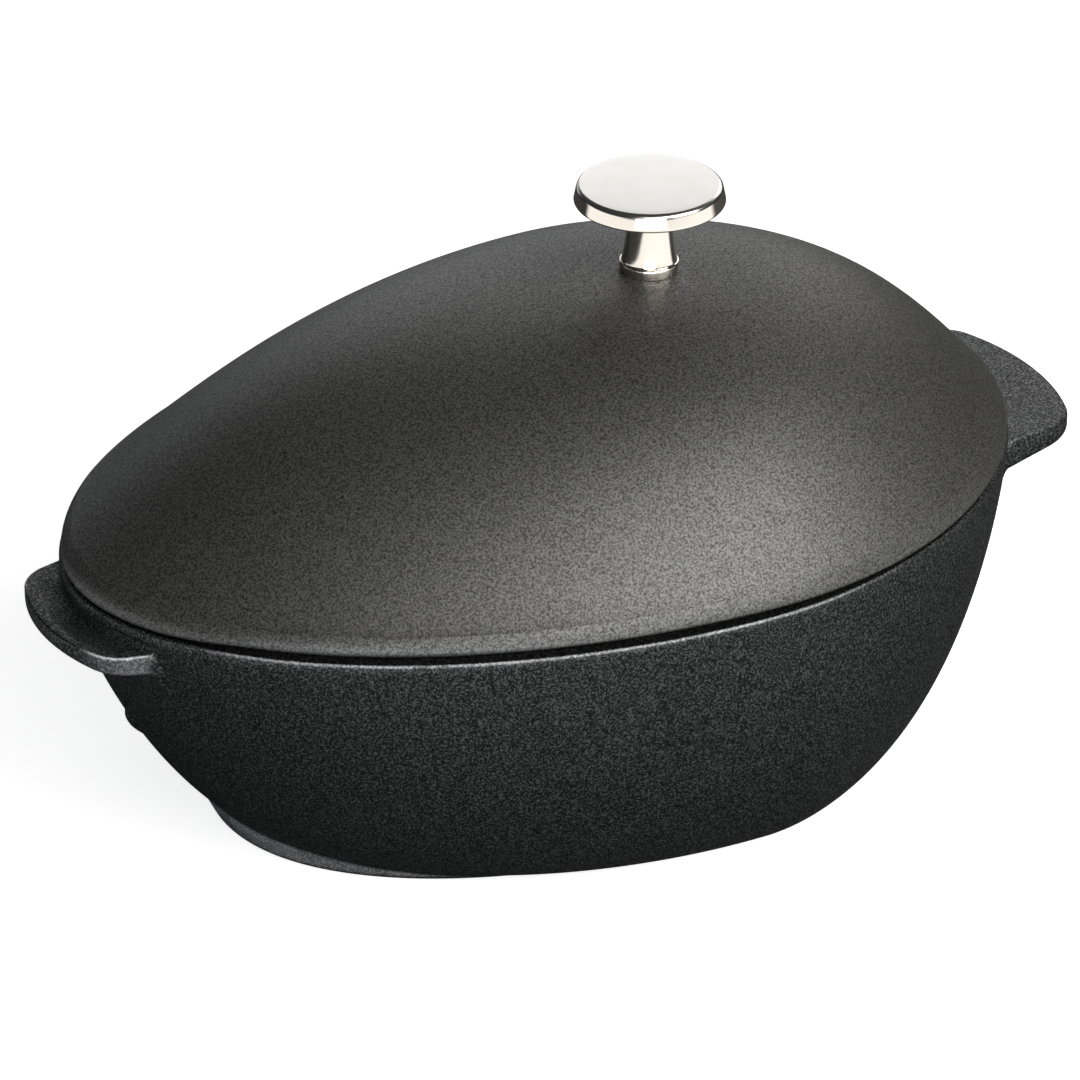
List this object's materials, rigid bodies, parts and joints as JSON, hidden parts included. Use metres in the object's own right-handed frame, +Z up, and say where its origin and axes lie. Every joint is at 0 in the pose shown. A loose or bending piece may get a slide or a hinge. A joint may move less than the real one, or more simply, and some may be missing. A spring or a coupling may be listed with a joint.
{
  "type": "mussel pot",
  "caption": "Egg-shaped cast-iron mussel pot with two cast ears, a domed lift-off lid with a round metal knob, and a loose wire strainer inside.",
  "frame": {"origin": "on the table plane, under the middle of the rim's length and on the plane of symmetry", "axes": "+X towards the broad end, +Z up, the pot is symmetric about Y = 0"},
  "size_m": [0.2775, 0.1768, 0.148],
  "materials": {
    "pot_enamel": "matt black enamel, fine grain",
    "lid_enamel": "matt black enamel, fine grain",
    "knob_metal": "nickel, satin face and polished sides",
    "fastener_steel": "plain stainless steel",
    "strainer_wire": "bright drawn stainless wire"
  },
  "bodies": {
    "pot": {"pot_body": "pot_enamel"},
    "lid": {"lid": "lid_enamel", "knob": "knob_metal", "knob_screw": "fastener_steel", "knob_washer": "fastener_steel", "lock_washer": "fastener_steel"},
    "strainer": {"strainer_frame": "strainer_wire", "strainer_bars": "strainer_wire", "strainer_runners": "strainer_wire", "strainer_handle": "strainer_wire"}
  },
  "joints": [
    {"name": "lid_lift", "type": "slide", "parent": "pot", "child": "lid", "axis": [0, 0, 1], "range_m": [0, 0.16]},
    {"name": "strainer_lift", "type": "slide", "parent": "pot", "child": "strainer", "axis": [0, 0, 1], "range_m": [0, 0.08]}
  ],
  "couplings": [
    {"joint": "strainer_lift", "follows": "lid_lift", "ratio": 0.5}
  ]
}
